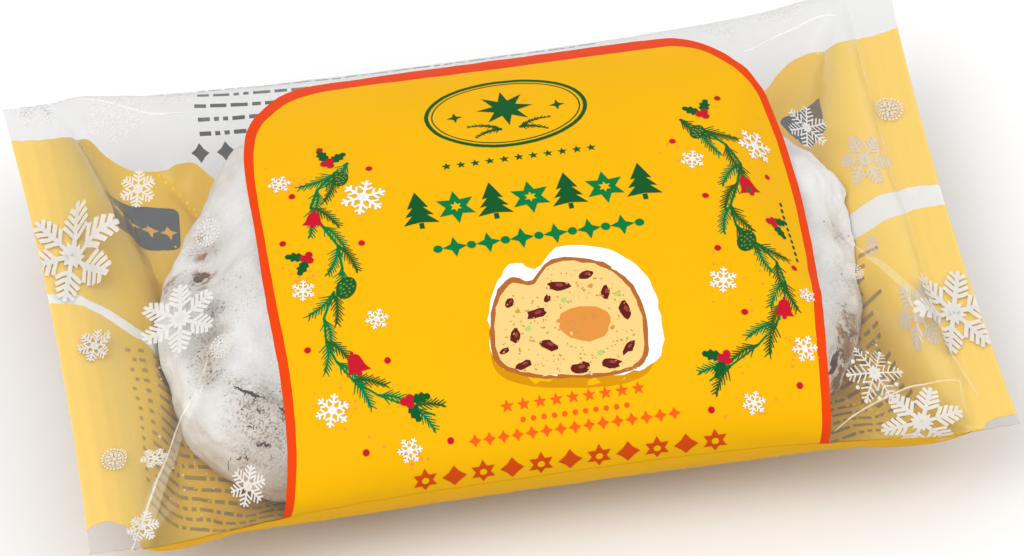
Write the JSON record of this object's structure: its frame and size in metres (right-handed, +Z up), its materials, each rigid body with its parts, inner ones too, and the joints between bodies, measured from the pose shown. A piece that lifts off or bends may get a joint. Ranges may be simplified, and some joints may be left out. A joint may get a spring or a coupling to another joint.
{
  "type": "packed stollen",
  "caption": "Small sugared stollen loaf sealed in a clear printed flow-wrap film pack, a pillow shape with a flat pressed fin at each end.",
  "frame": {"origin": "middle of the pack's underside, on the surface that it rests on", "axes": "+X along the loaf from one pressed end to the other, +Y across the pack, +Z up out of the printed front"},
  "size_m": [0.17, 0.112, 0.039],
  "materials": {
    "film": "thin clear flow-wrap film, printed in yellow with an orange line and white snowflakes, soft gloss"
  },
  "bodies": {
    "root": {"pack": "film"}
  },
  "joints": []
}
